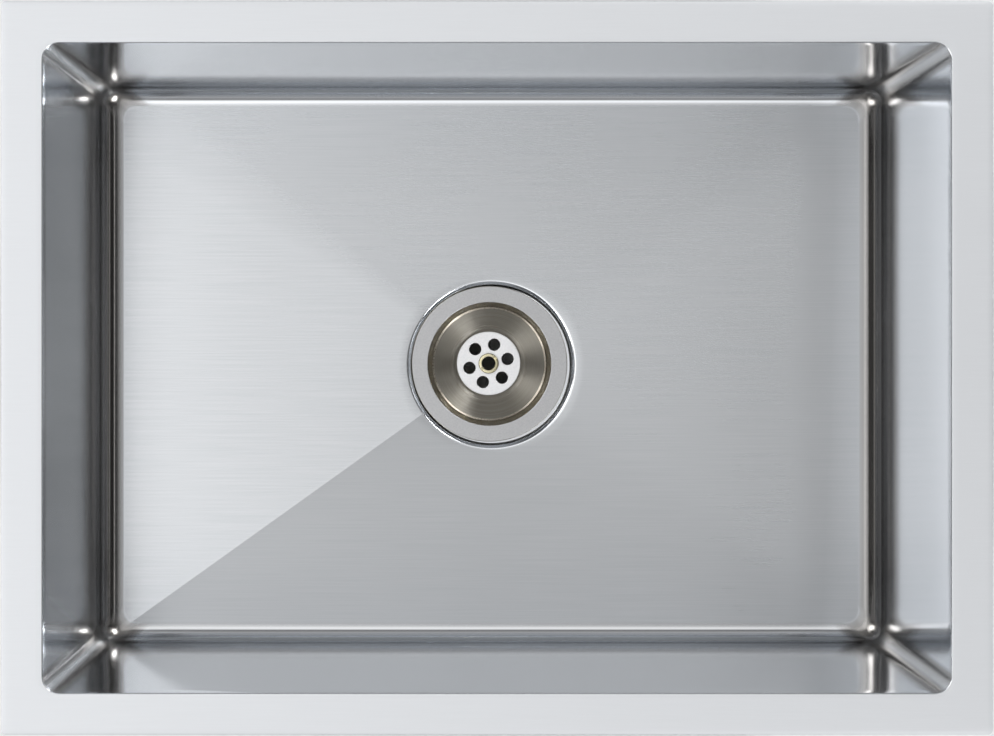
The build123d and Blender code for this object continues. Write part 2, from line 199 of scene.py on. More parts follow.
def brushed(name, dark, light, roughness, anisotropy, line_width, line_length, depth, polished=None, duller=0.0):
    """Metal brushed one way: streaks of tone and gloss along the UV map, whose lengths are millimetres.

    The highlight spreads across the lines. polished is the roughness where the piece's polish mark is 1, and duller
    what its dull mark adds; the dull mark also takes a third off the tone, which is painted shade. The polish mark
    makes the tone paler, which is a painted sheen, and a third mark darkens it to a brownish grey, which is painted
    shade.
    """
    made, tree, shader = start(name, light, roughness, metallic=1.0, Anisotropic=anisotropy)
    uv = add(tree, "ShaderNodeUVMap", uv_map="grain")
    stretched = add(tree, "ShaderNodeMapping", {"Vector": uv.outputs["UV"],
                                                "Scale": (1 / line_width, 1 / line_length, 1)})
    lines = add(tree, "ShaderNodeTexNoise", {"Vector": stretched.outputs["Vector"], "Scale": 1.0, "Detail": 3.0})
    streaks = add(tree, "ShaderNodeMapRange", {"Value": lines.outputs["Fac"], "From Min": 0.3, "From Max": 0.7})
    tone = add(tree, "ShaderNodeMix", {FACTOR: streaks.outputs["Result"], FIRST_COLOUR: linear(dark),
                                       SECOND_COLOUR: linear(light)}, data_type="RGBA")
    place = add(tree, "ShaderNodeTexCoord")
    smudges = add(tree, "ShaderNodeTexNoise", {"Vector": place.outputs["Object"], "Scale": 1 / (70 * MM)})
    gloss = add(tree, "ShaderNodeMath", {0: streaks.outputs["Result"], 1: 0.015, 2: roughness - 0.015},
                operation="MULTIPLY_ADD")
    rough = add(tree, "ShaderNodeMath", {0: smudges.outputs["Fac"], 1: 0.03, 2: gloss.outputs["Value"]},
                operation="MULTIPLY_ADD")
    if polished is not None:
        # The marks paint light into the tone: the first darkens it as painted shade, the second makes it paler as a
        # painted sheen, and the third darkens it to a brownish grey as painted shade
        dull_and_painted_shade = add(tree, "ShaderNodeAttribute", attribute_name="dull_and_painted_shade")
        tone = add(tree, "ShaderNodeMix", {FACTOR: dull_and_painted_shade.outputs["Fac"], FIRST_COLOUR: tone.outputs[MIXED_COLOUR],
                                           SECOND_COLOUR: linear("#D6D6D6")}, data_type="RGBA", blend_type="MULTIPLY")
        rough = add(tree, "ShaderNodeMath", {0: dull_and_painted_shade.outputs["Fac"], 1: duller, 2: rough.outputs["Value"]},
                    operation="MULTIPLY_ADD")
        polish_and_painted_sheen = add(tree, "ShaderNodeAttribute", attribute_name="polish_and_painted_sheen")
        tone = add(tree, "ShaderNodeMix", {FACTOR: polish_and_painted_sheen.outputs["Fac"], FIRST_COLOUR: tone.outputs[MIXED_COLOUR],
                                           SECOND_COLOUR: linear("#ECEFF3")}, data_type="RGBA")
        brown_painted_shade = add(tree, "ShaderNodeAttribute", attribute_name="brown_painted_shade")
        tone = add(tree, "ShaderNodeMix", {FACTOR: brown_painted_shade.outputs["Fac"], FIRST_COLOUR: tone.outputs[MIXED_COLOUR],
                                           SECOND_COLOUR: linear("#969390")}, data_type="RGBA")
        rough = add(tree, "ShaderNodeMix", {FACTOR: polish_and_painted_sheen.outputs["Fac"], FIRST_VALUE: rough.outputs["Value"],
                                            SECOND_VALUE: polished})
        spread = add(tree, "ShaderNodeMix", {FACTOR: polish_and_painted_sheen.outputs["Fac"], FIRST_VALUE: anisotropy,
                                             SECOND_VALUE: 0.0})
        tree.links.new(spread.outputs[MIXED_VALUE], shader.inputs["Anisotropic"])
    relief = add(tree, "ShaderNodeBump", {"Distance": depth * MM, "Height": lines.outputs["Fac"]})
    across = add(tree, "ShaderNodeTangent", direction_type="UV_MAP", uv_map="grain")
    tree.links.new(tone.outputs[MIXED_COLOUR], shader.inputs["Base Color"])
    tree.links.new(rough.outputs[0], shader.inputs["Roughness"])
    tree.links.new(relief.outputs["Normal"], shader.inputs["Normal"])
    tree.links.new(across.outputs["Tangent"], shader.inputs["Tangent"])
    return made


def mottled(name, dark, light, patch, smoothest, roughest, grit, depth, metallic=0.0, **inputs):
    """A finish without direction: patches of tone, and a fine grit of gloss and relief, both sizes in millimetres."""
    made, tree, shader = start(name, light, roughest, metallic, **inputs)
    place = add(tree, "ShaderNodeTexCoord")
    broad = add(tree, "ShaderNodeTexNoise", {"Vector": place.outputs["Object"], "Scale": 1 / (patch * MM),
                                             "Detail": 4.0})
    fine = add(tree, "ShaderNodeTexNoise", {"Vector": place.outputs["Object"], "Scale": 1 / (grit * MM),
                                            "Detail": 3.0})
    tone = add(tree, "ShaderNodeMapRange", {"Value": broad.outputs["Fac"], "From Min": 0.3, "From Max": 0.7})
    colour = add(tree, "ShaderNodeMix", {FACTOR: tone.outputs["Result"], FIRST_COLOUR: linear(dark),
                                         SECOND_COLOUR: linear(light)}, data_type="RGBA")
    gloss = add(tree, "ShaderNodeMapRange", {"Value": fine.outputs["Fac"], "From Min": 0.3, "From Max": 0.7,
                                             "To Min": smoothest, "To Max": roughest})
    relief = add(tree, "ShaderNodeBump", {"Distance": depth * MM, "Height": fine.outputs["Fac"]})
    tree.links.new(colour.outputs[MIXED_COLOUR], shader.inputs["Base Color"])
    tree.links.new(gloss.outputs["Result"], shader.inputs["Roughness"])
    tree.links.new(relief.outputs["Normal"], shader.inputs["Normal"])
    return made


# AISI 304 stainless sheet, belt-brushed: cool grey, with fine lines that spread each reflection across the grain. The
# walls and bends are nearly mirrors, with a paler tone that is a painted sheen. The floor's four quarters differ in
# gloss, each brushed by itself, and in tone, which is painted shade. The real lines are about 0.1 mm wide, drawn here
# about 0.9 mm wide so that they show.
bowl_stainless = brushed("brushed_stainless_bowl", "#D3D6D9", "#DADCDF", 0.24, 0.8, 0.9, 70.0, 0.0003,
                         polished=0.13, duller=0.06)

# The same sheet on the rim, left with its duller mill finish: a flat pale grey, with its lines drawn as wide.
rim_stainless = brushed("satin_stainless_rim", "#DADCDF", "#DCDEE1", 0.5, 0.1, 0.9, 40.0, 0.0004)

# The same sheet outside, as it came from the mill: matte, a shade darker, with hardly a direction. Its rolling lines
# are finer than shows, and are drawn 1.5 mm wide.
mill_stainless = brushed("mill_stainless_outside", "#C3C5C7", "#CDCFD1", 0.62, 0.1, 1.5, 30.0, 0.0004)

# Drawn stainless cup, spun against an abrasive: circular lines, drawn wider than they are, and warm fans of light.
cup_stainless = brushed("spun_stainless_cup", "#908C84", "#A9A59C", 0.44, 1.0, 0.5, 90.0, 0.22)

# The cup's flange, blasted after spinning: pale, even and faintly grainy.
flange_stainless = mottled("blasted_stainless_flange", "#B4B5B7", "#C2C2C3", 1.0, 0.3, 0.4, 0.5, 0.012, 1.0)

# The cup's neck, left as the press drew it: dark and slightly brown, which is painted shade of the groove it lies in.
neck_painted_shade = mottled("stainless_neck_painted_shade", "#8C857A", "#A8A195", 6.0, 0.25, 0.35, 1.0, 0.01, 1.0)

# Stamped stainless plate, finely blasted: near white and even.
plate_stainless = mottled("blasted_stainless_plate", "#F1F2F4", "#FAFAFB", 1.5, 0.34, 0.42, 0.6, 0.008, 1.0)

# Free-cutting brass, turned and left bare: pale straw yellow, with tool rings 0.25 mm apart.
turned_brass = mottled("turned_brass", "#D2C9A0", "#E6DFC2", 4.0, 0.2, 0.3, 0.8, 0.004, 1.0)
tree = turned_brass.node_tree
place = add(tree, "ShaderNodeTexCoord")
middle = add(tree, "ShaderNodeMapping", {"Vector": place.outputs["Object"],
                                         "Location": (-WASTE[0] * MM, -WASTE[1] * MM, 0.0)})
rings = add(tree, "ShaderNodeTexWave", {"Vector": middle.outputs["Vector"], "Scale": 2 * math.pi / (20 * 0.25 * MM),
                                        "Distortion": 0.3}, wave_type="RINGS", rings_direction="Z")
cut = add(tree, "ShaderNodeMapRange", {"Value": rings.outputs["Fac"], "To Min": 0.17, "To Max": 0.3})
tree.links.new(cut.outputs["Result"], tree.nodes["Principled BSDF"].inputs["Roughness"])

# Steel with bright zinc plating: pale, slightly blue, with the crystal clouds of the plating.
zinc_plated = mottled("zinc_plated_steel", "#B9BDBE", "#D3D7D8", 3.0, 0.32, 0.46, 1.0, 0.003, 1.0)

# Stamped stainless strip, as rolled: a little darker, and smoother than the plating.
pressed_steel = mottled("rolled_stainless_strip", "#AFB1B2", "#C8CACB", 12.0, 0.28, 0.42, 1.2, 0.01, 1.0)

# EPDM gasket rubber, moulded: matte black with a slight bloom.
gasket_rubber = mottled("moulded_gasket_rubber", "#19191A", "#2A2A2B", 8.0, 0.68, 0.82, 0.5, 0.03)

# Filled butyl sheet with a calendered face: charcoal, dry and faintly dimpled.
pad_rubber = mottled("calendered_butyl_pad", "#313234", "#404144", 40.0, 0.72, 0.9, 1.6, 0.25)

# Black polypropylene, injection-moulded with a fine spark-eroded texture.
moulded_plastic = mottled("moulded_polypropylene", "#1F2021", "#2A2B2C", 25.0, 0.36, 0.52, 0.8, 0.03)

# Natural acetal washer: milky, faintly glossy.
acetal = mottled("natural_acetal", "#DED8C0", "#ECE8D8", 3.0, 0.3, 0.4, 1.0, 0.005,
                 Subsurface_Weight=0.1, Subsurface_Scale=0.001)

finish_of_slot = {
    "bowl_steel": bowl_stainless, "cup_steel": cup_stainless, "plate_steel": plate_stainless, "brass": turned_brass,
    "plated_steel": zinc_plated, "clip_steel": pressed_steel, "gasket_rubber": gasket_rubber,
    "pad_rubber": pad_rubber, "body_plastic": moulded_plastic, "washer_plastic": acetal,
}
for part in frame["record"]["subparts"]:
    dress(frame["nodes"][part["node"]], finish_of_slot[part["material_slot"]])


# ---------------------------------------------------------------- sink bowl
def mouth_path(long_steps, short_steps, corner_steps):
    """A path round a rectangle with rounded corners, as the square's point and the outward direction.

    A ring with half sizes a and b and corner radius r is square times (a - r, b - r), plus outward times r. Its side
    is 0 where the wall nearest to it is left or right, and 1 where it is back or front.
    """
    square, outward, side = [], [], []
    turned = np.eye(2)
    for turn, steps in enumerate((short_steps, long_steps, short_steps, long_steps)):
        run = np.linspace(-1, 1, steps, endpoint=False)
        arc = np.linspace(0, math.pi / 2, corner_steps, endpoint=False)
        square.append(np.concatenate([np.stack([np.ones(steps), run], 1), np.ones((corner_steps, 2))]) @ turned)
        round_corner = np.stack([np.cos(arc), np.sin(arc)], 1)
        outward.append(np.concatenate([np.tile((1.0, 0.0), (steps, 1)), round_corner]) @ turned)
        half = corner_steps // 2
        side.append(np.concatenate([np.full(steps + half, turn % 2), np.full(corner_steps - half, 1 - turn % 2)]))
        turned = turned @ np.array([[0.0, 1.0], [-1.0, 0.0]])
    return np.concatenate(square), np.concatenate(outward), np.concatenate(side)


square, outward, side = mouth_path(130, 92, 14)


def rings(half_x, half_y, radius):
    """Rounded rectangles, one for each row of half sizes and corner radius."""
    radius = np.asarray(radius, float)[:, None]
    x = square[:, 0] * (np.asarray(half_x, float)[:, None] - radius) + outward[:, 0] * radius
    y = square[:, 1] * (np.asarray(half_y, float)[:, None] - radius) + outward[:, 1] * radius
    return x, y


def floor_height(x, y):
    """The higher of two troughs that fall to the middle, with the crease between them rounded.

    The rounding adds the crease's width under a root: half the sum plus the root of half the difference squared plus
    width squared. The crease at the front left is sharper than the rest.
    """
    along = FALL * np.abs(x) / MOUTH[0]
    across = FALL * np.abs(y) / MOUTH[1]
    width = 0.16 - 0.12 * smooth((-x / 60 + 0.5)) * smooth((-y / 60 + 0.5))
    return FLOOR + (along + across) / 2 + np.sqrt(((along - across) / 2) ** 2 + width ** 2) - width


def curve_of_slope(shares, degrees, steps):
    """Run and drop, each from 0 to 1, of a curve whose slope is these degrees at these shares of its length.

    They are the running sums of the slope's cosine and sine, each divided by its last value.
    """
    slope = np.radians(np.interp(np.linspace(0, 1, steps), shares, degrees))
    half_way = (slope[1:] + slope[:-1]) / 2
    run = np.concatenate([[0], np.cumsum(np.cos(half_way))])
    drop = np.concatenate([[0], np.cumsum(np.sin(half_way))])
    return run / run[-1], drop / drop[-1]


def hand_of_sheet(x, y):
    """Slow waves of a folded sheet, within a tenth of a millimetre: a sum of a few sines."""
    return 0.05 * (np.sin(x / 61 + 0.4) * np.cos(y / 47 - 0.8) + np.sin(x / 37 - y / 53 + 2.1))


def stack(x, y, z):
    """Points of a set of rings, from their x, y and z."""
    x, y, z = np.broadcast_arrays(x, y, z)
    return np.stack([x, y, z], -1)


# The top skin, from the rim's edge down the wall and in to the hole
edge = np.radians(np.linspace(0, 90, 4))
rim_edge_in = 0.3 * (1 - np.cos(edge))
rim_in = np.linspace(0.3, 24.2, 9)[1:-1]
roll = np.radians(np.linspace(0, 90, 6))
wall_z = np.linspace(-0.8, BEND_TOP, 19)[1:-1]
inset = np.concatenate([[0.0], rim_edge_in, rim_in])
top_half_x = np.concatenate([RIM[0] - inset, MOUTH[0] + 0.8 * (1 - np.sin(roll)), np.full(len(wall_z), MOUTH[0])])
top_half_y = np.concatenate([RIM[1] - inset, MOUTH[1] + 0.8 * (1 - np.sin(roll)), np.full(len(wall_z), MOUTH[1])])
top_radius = np.concatenate([3 + (CORNER - 2.2) * inset / 24.2, CORNER + 0.8 * (1 - np.sin(roll)),
                             np.full(len(wall_z), CORNER)])
top_z = np.concatenate([[-SHEET], 0.3 * (np.sin(edge) - 1), 0 * rim_in, 0.8 * (np.cos(roll) - 1), wall_z])
rim_rows = 1 + len(edge) + len(rim_in) + 3
lean_in = -WALL_LEAN * np.where(np.arange(len(top_z)) < rim_rows, 0.0, top_z)
x, y = rings(top_half_x - lean_in, top_half_y - lean_in, top_radius)
upper = stack(x, y, top_z[:, None])

# The bend goes on from the leaning wall, turns evenly to a slope of 14 degrees, and then slowly to the floor's level
bend_run, bend_drop = curve_of_slope((0, 0.82, 1), (88, 12, 0), 25)
wall_foot_in = -WALL_LEAN * BEND_TOP
bend_in = wall_foot_in + (BEND_FOOT + BEND_EASE - wall_foot_in) * bend_run
bend_in_y = wall_foot_in + (BEND_FOOT - wall_foot_in) * bend_run
bend_radius = CORNER - 1.2 * bend_run
x, y = rings(MOUTH[0] - bend_in, MOUTH[1] - bend_in_y, bend_radius)
bend = stack(x, y, BEND_TOP - (BEND_TOP - floor_height(x, y)) * bend_drop[:, None])

foot_x, foot_y = x[-1], y[-1]
foot_reach = np.hypot(foot_x, foot_y)
direction = np.stack([foot_x, foot_y]) / foot_reach
lip_radius = RECESS_RADIUS + 1.1
t = np.concatenate([[0.005], np.linspace(0, 1, 36)[1:] ** 0.96])[:, None]
x = foot_x * (1 - t) + direction[0] * lip_radius * t
y = foot_y * (1 - t) + direction[1] * lip_radius * t
floor = stack(x, y, floor_height(x, y))

# The recess: a rounded lip at the floor's own height, then a wall down to a level floor under the flange
recess_line = rounded_profile([(lip_radius, -199.2), (57.2, -199.4), (55.4, -200.7), (54.4, -202.9),
                               (53.9, RECESS_FLOOR), (52.6, RECESS_FLOOR)], [1.6, 1.6, 0.4, 0.2], steps=6)[1:]
lip_z = floor[-1, :, 2]
r = recess_line[:, :1]
above = np.clip((recess_line[:, 1:] - RECESS_FLOOR) / (-199.2 - RECESS_FLOOR), 0, 1)
recess = stack(direction[0] * r, direction[1] * r, recess_line[:, 1:] + (lip_z + 199.2) * above)
r = np.array([[51.0], [48.0], [HOLE_RADIUS + 0.2], [HOLE_RADIUS]])
drop = np.array([[0.0], [0.0], [0.0], [0.2]])
recess_floor = stack(direction[0] * r, direction[1] * r, RECESS_FLOOR - drop)

# The under skin, a sheet's thickness away, from the hole back out to the rim's edge
r = np.array([[HOLE_RADIUS], [HOLE_RADIUS + 0.2], [48.0], [52.0], [54.0]])
under_recess = stack(direction[0] * r, direction[1] * r, RECESS_FLOOR - SHEET + 0 * r)
t = np.linspace(0, 1, 10)[1:, None]
r = 55.2 + 4.8 * t
under_x, under_y = direction[0] * 60.0, direction[1] * 60.0
under_lip = floor_height(under_x, under_y) - SHEET
under_step = stack(direction[0] * r, direction[1] * r,
                   RECESS_FLOOR - SHEET + (under_lip - RECESS_FLOOR + SHEET) * smooth(t))
under_foot_x, under_foot_y = (line[0] for line in rings([MOUTH[0] - BEND_FOOT], [MOUTH[1] - BEND_FOOT], [4.0]))
t = np.linspace(1, 0, 16)[1:, None]
x = under_foot_x * (1 - t) + under_x * t
y = under_foot_y * (1 - t) + under_y * t
under_floor = stack(x, y, floor_height(x, y) - SHEET)
under_run, under_drop = curve_of_slope((0, 1), (88, 1), 14)
under_run, under_drop = under_run[-2::-1], under_drop[-2::-1, None]
under_in = wall_foot_in + (BEND_FOOT + SHEET - wall_foot_in) * under_run
x, y = rings(MOUTH[0] + SHEET - under_in, MOUTH[1] + SHEET - under_in, CORNER + SHEET - wall_foot_in + 0 * under_in)
under_bend = stack(x, y, BEND_TOP - (BEND_TOP - floor_height(x, y) + SHEET) * under_drop)
back_z = np.linspace(BEND_TOP, -SHEET - 0.6, 12)[1:]
out = SHEET + WALL_LEAN * back_z
x, y = rings(MOUTH[0] + out, MOUTH[1] + out, CORNER + out)
outer_wall = stack(x, y, back_z[:, None])
out = np.array([0.18, 0.6, 6.0, 12.0, 18.0, 23.6])
x, y = rings(MOUTH[0] + SHEET + out, MOUTH[1] + SHEET + out, CORNER + SHEET - 8.0 * out / 23.6)
under_rim = stack(x, y, np.array([-SHEET - 0.18, -SHEET, -SHEET, -SHEET, -SHEET, -SHEET])[:, None])

top_skin = np.concatenate([upper, bend[1:], floor, recess, recess_floor])
under_skin = np.concatenate([under_recess, under_step, under_floor, under_bend, outer_wall, under_rim])

# Waves of the sheet: inwards on the walls and up on the floor, gone at the mouth, the bends and the recess
wall_rows = np.arange(len(upper) - len(wall_z), len(upper))
fade = np.sin(np.clip((top_skin[wall_rows, :, 2] + 0.8) / (BEND_TOP + 0.8), 0, 1) * math.pi) ** 2
corner_fade = smooth(4 * (1 - np.max(np.abs(square), axis=1) * np.min(np.abs(square), axis=1)))
wave = hand_of_sheet(top_skin[wall_rows, :, 0] + top_skin[wall_rows, :, 1], top_skin[wall_rows, :, 2] * 1.4) * fade
top_skin[wall_rows, :, 0] += wave * corner_fade * outward[:, 0]
top_skin[wall_rows, :, 1] += wave * corner_fade * outward[:, 1]
floor_rows = np.arange(len(upper) + len(bend) - 1, len(upper) + len(bend) - 1 + len(floor))
floor_fade = np.sin(np.linspace(0, math.pi, len(floor)))[:, None] ** 1.5
top_skin[floor_rows, :, 2] += hand_of_sheet(top_skin[floor_rows, :, 0], top_skin[floor_rows, :, 1]) * floor_fade

skin = np.concatenate([top_skin, under_skin])
rows, columns = skin.shape[:2]

# The floor is brushed along X, and every wall level along its own length, down to the foot of its bend.
ring_gap = np.linalg.norm(np.diff(np.concatenate([skin, skin[:1]]), axis=0), axis=2)
walk = np.concatenate([np.zeros((1, columns)), np.cumsum(ring_gap, axis=0)])
wrapped = np.concatenate([skin, skin[:1]])
wrapped = np.concatenate([wrapped, wrapped[:, :1]], axis=1)
walk = np.concatenate([walk, walk[:, :1]], axis=1)
floor_start, rim_end = floor_rows[0] - 1, rim_rows
to_foot = np.maximum(walk[floor_start] - walk, 0)
to_foot[:rim_end] = 0
under_start = len(top_skin) + len(under_recess) + len(under_step) + len(under_floor)
from_foot = np.maximum(walk - walk[under_start], 0)
from_foot[:len(top_skin)] = 0
folded = np.where(np.arange(rows + 1)[:, None] < len(top_skin), to_foot, from_foot)
sign_x, sign_y = np.sign(wrapped[..., 0]), np.sign(wrapped[..., 1])
base_x = np.where(folded > 0, sign_x * (MOUTH[0] - BEND_FOOT), wrapped[..., 0])
base_y = np.where(folded > 0, sign_y * (MOUTH[1] - BEND_FOOT), wrapped[..., 1])
for_sides = corner_values(np.stack([base_x + sign_x * folded, wrapped[..., 1]], -1))
for_ends = corner_values(np.stack([base_y + sign_y * folded, wrapped[..., 0]], -1))
on_floor = corner_values(np.stack([wrapped[..., 1], wrapped[..., 0]], -1))
level_rows = np.zeros(rows, bool)
level_rows[:rim_rows] = True
level_rows[floor_rows[0] - 1:under_start] = True
grain = np.where(side[None, :, None, None] == 0, for_sides, for_ends)
grain = np.where(level_rows[:, None, None, None], on_floor, grain)

# How polished each point is: the walls and bends are smoother than the floor, and paler, which is a painted sheen. The
# polish fades out over the last rows of each bend, later on the long sides. The recess's lip is polished too, with the
# same painted sheen, and the corner welds are not.
polish_and_painted_sheen = np.zeros((rows, columns))
bend_end = len(upper) + len(bend) - 1
polish_and_painted_sheen[rim_rows - 1:bend_end] = 1.0
polish_and_painted_sheen[bend_end - 10:bend_end] = (np.linspace(1.3, -0.7, 10)[:, None] + 0.6 * side).clip(0, 1)
polish_and_painted_sheen[floor_rows[-1] + 1:floor_rows[-1] + 1 + len(recess)] = 0.8
in_corner = np.min(np.abs(square), axis=1) > 0.9999
polish_and_painted_sheen[rim_rows - 1:bend_end, in_corner] = 0.2
# The end bends and the welds at their ends are darkened to a brownish grey, fading to the foot and to the wall, which
# is painted shade
end_bend = np.where(side == 0, 1.0, smooth(1.6 - np.abs(np.abs(square[:, 0]) - 1) * 30))
brown_painted_shade = np.zeros((rows, columns))
bend_rows = np.arange(len(upper) - 1, bend_end)
brown_painted_shade[bend_rows] = np.sin(np.linspace(0, 1, len(bend_rows)) * math.pi)[:, None] ** 0.4 * end_bend
# The front bend is a little darker at its foot, which is painted shade that dims the highlight along its foot
foot_rows = bend_rows[-9:]
brown_painted_shade[foot_rows] = np.maximum(brown_painted_shade[foot_rows], side * np.where(square[:, 1] < 0, 0.35, 0.0)
                              * np.sin(np.linspace(0.1, 0.95, 9) * math.pi)[:, None])
# The corner welds are darkened at both edges, which is painted shade, and left lighter along their middle
weld = np.abs(outward[in_corner, 0] ** 2 - outward[in_corner, 1] ** 2)
brown_painted_shade[rim_rows + 1:bend_rows[0] + 1, in_corner] = 0.9 * weld
# How dull and how dark each quarter of the floor is: rougher, as each was brushed by itself, and darker, which is
# painted shade. It goes by the turn from the front left crease round by the front, the right and the back, with a
# sharp change only at that crease, and a softer one at the back left. A strip along the right foot is duller and
# darker still, also painted shade.
turn = (np.degrees(np.arctan2(skin[..., 1] / MOUTH[1], skin[..., 0] / MOUTH[0])) + 135) % 360
quarter_dull_and_shade = np.interp(turn, (0, 60, 90, 120, 180, 255, 265, 275, 300, 360),
                    (0.95, 0.75, 0.6, 0.5, 0.45, 0.5, 0.48, 0.08, 0.0, 0.0))
quarter_dull_and_shade = quarter_dull_and_shade + 0.7 * smooth((skin[..., 0] - 200) / 50)
dull_and_painted_shade = np.zeros((rows, columns))
dull_and_painted_shade[bend_end - 6:len(top_skin)] = quarter_dull_and_shade[bend_end - 6:len(top_skin)]
kinds = np.zeros((rows, columns))
kinds[:rim_rows - 3] = 1
kinds[len(top_skin):] = 2

sink_skin = piece("bowl_pressing", skin, "sink", closed_rows=True, grain=grain,
                  marks={"polish_and_painted_sheen": polish_and_painted_sheen, "dull_and_painted_shade": dull_and_painted_shade, "brown_painted_shade": brown_painted_shade}, kinds=kinds)
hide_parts("sink_bowl")
dress(sink_skin, bowl_stainless, rim_stainless, mill_stainless)

# ---------------------------------------------------------------- strainer cup
cup_line = [(53.1, -201.2), (42.5, -201.2), (39.4, -209.5), (38.0, -209.97), (27.0, -231.97), (25.6, -233.37),
            (23.8, -241.2), (18.5, -241.2)]
cup_top = rounded_profile(cup_line, [0.5, 0.7, 0.5, 1.0, 0.6, 1.0], steps=7)
flat_ring = np.stack([np.linspace(53.0, 43.2, 8), np.full(8, -201.2)], -1)
cup_top = np.concatenate([cup_top[:1], flat_ring, cup_top[1:]])
under_line = [(18.5, -242.2), (24.7, -242.2), (26.5, -234.0), (27.8, -232.6), (38.9, -210.6), (40.2, -210.1),
              (43.4, -202.2), (53.2, -202.2), (53.5, -201.9), (53.5, -201.6), (53.1, -201.2)]
cup_under = rounded_profile(under_line, [0.8, 0.8, 0.8, 0.8, 0.5, 0.5, 0.1, 0.1, 0.1], steps=4)
cup_rings = np.concatenate([cup_top, cup_under])
in_neck = ((cup_rings[:, 0] > 37.9) & (cup_rings[:, 0] < 42.6)
           & (cup_rings[:, 1] < -201.25) & (cup_rings[:, 1] > -209.96))
cup_kinds = np.where(cup_rings[:, 1] > -201.25, 1, np.where(in_neck, 2, 0))
seat = lathe("spun_cup", cup_rings, "sink", count=180, kinds=cup_kinds)
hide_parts("waste_cup")
dress(seat, cup_stainless, flange_stainless, neck_painted_shade)

# ---------------------------------------------------------------- threads
def thread_radius(down, angle, root, crest, pitch):
    """Radius at a height and an angle, from root to crest.

    It follows a flat-topped triangle wave of the turns down less the turns round.
    """
    place = (down / pitch - angle / (2 * math.pi)) % 1
    return root + (crest - root) * np.clip(1.7 * (1 - np.abs(2 * place - 1)) - 0.35, 0, 1)


STUD_LENGTH, STUD_PITCH, STUD_ROOT, STUD_CREST = 20.0, 0.8, 2.12, 2.48
OUTLET_TOP, OUTLET_LENGTH, OUTLET_PITCH, OUTLET_RADIUS, OUTLET_RISE = -271.3, 16.6, 2.3, 23.92, 0.75

# M5 studs: x = cx + r cos a, y = cy + r sin a, with the thread's radius, less at the foot's chamfer and at the weld
angle = np.linspace(0, 2 * math.pi, 28, endpoint=False)
down = np.linspace(0, STUD_LENGTH, 201)[:, None]
worn = np.minimum(0, STUD_LENGTH - 0.5 - down) + 0 * angle
r = thread_radius(down, angle, STUD_ROOT, STUD_CREST, STUD_PITCH) * (1 + worn / 2.5)
r = np.concatenate([0 * r[:1], np.where(down < 1.2, STUD_CREST, r), 0 * r[:1]])
z = -SHEET - np.concatenate([down[:1], down, down[-1:]])
for place, stud_x, stud_y in (("back_left", -160, 208.2), ("back_right", 160, 208.2), ("right", 285.7, 0),
                              ("front_right", 160, -208.2), ("front_left", -160, -208.2), ("left", -285.7, 0)):
    stud = piece("threaded_stud_" + place, stack(stud_x + r * np.cos(angle), stud_y + r * np.sin(angle), z), "sink")
    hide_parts("rim_studs")
    dress(stud, zinc_plated)

# The outlet's pipe thread, as a sleeve whose back lies inside the outlet's wall
angle = np.linspace(0, 2 * math.pi, 144, endpoint=False)
down = np.linspace(0, OUTLET_LENGTH, 121)[:, None]
fade = smooth(down / 1.5) * smooth((OUTLET_LENGTH - down) / 1.5)
r = OUTLET_RADIUS + thread_radius(down, angle, 0.0, OUTLET_RISE, OUTLET_PITCH) * fade
r = np.concatenate([23.2 + 0 * r[:1], r, 23.2 + 0 * r[:1]])
z = OUTLET_TOP - np.concatenate([down[:1], down, down[-1:]])
outlet_thread = piece("outlet_thread", stack(WASTE[0] + r * np.cos(angle), WASTE[1] + r * np.sin(angle), z), "sink",
                      closed_rows=True)
dress(outlet_thread, moulded_plastic)

# Sharp edges are broken by 0.3 mm on the small parts that stay as constructed, and by 0.6 mm on the pads
for part in frame["record"]["subparts"]:
    if part["node"] in ("sink_bowl", "waste_cup", "rim_studs"):
        continue
    kept = frame["nodes"][part["node"]]
    weld = kept.modifiers.new("weld", "WELD")
    weld.merge_threshold = 0.002 * MM
    edge_break = kept.modifiers.new("edge_break", "BEVEL")
    edge_break.width = (0.6 if "pad" in part["node"] else 0.3) * MM
    edge_break.segments = 2
    edge_break.limit_method = "ANGLE"
    edge_break.angle_limit = math.radians(50)
    even = kept.modifiers.new("even", "WEIGHTED_NORMAL")
    even.keep_sharp = False

# ---------------------------------------------------------------- studio
# A plain pale floor, open from below so that the underside can be looked at
floor_plane = bpy.data.meshes.new("studio_floor")
reach = 6000.0
level = -289.7
floor_plane.from_pydata([(x * reach * MM, y * reach * MM, level * MM) for x, y in ((-1, -1), (1, -1), (1, 1), (-1, 1))],
                        [], [(0, 1, 2, 3)])
studio_floor = bpy.data.objects.new("studio_floor", floor_plane)
bpy.context.scene.collection.objects.link(studio_floor)
paper, tree, shader = start("pale_paper", "#F2F3F4", 0.8)
facing = add(tree, "ShaderNodeNewGeometry")
clear = add(tree, "ShaderNodeBsdfTransparent")
either = add(tree, "ShaderNodeMixShader", {0: facing.outputs["Backfacing"], 1: shader.outputs["BSDF"],
                                           2: clear.outputs["BSDF"]})
tree.links.new(either.outputs["Shader"], tree.nodes["Material Output"].inputs["Surface"])
studio_floor.data.materials.append(paper)

world = bpy.data.worlds.new("studio")
bpy.context.scene.world = world
world.use_nodes = True
tree = world.node_tree
tree.nodes.clear()
direction_in = add(tree, "ShaderNodeTexCoord")
parts = add(tree, "ShaderNodeSeparateXYZ", {"Vector": direction_in.outputs["Generated"]})


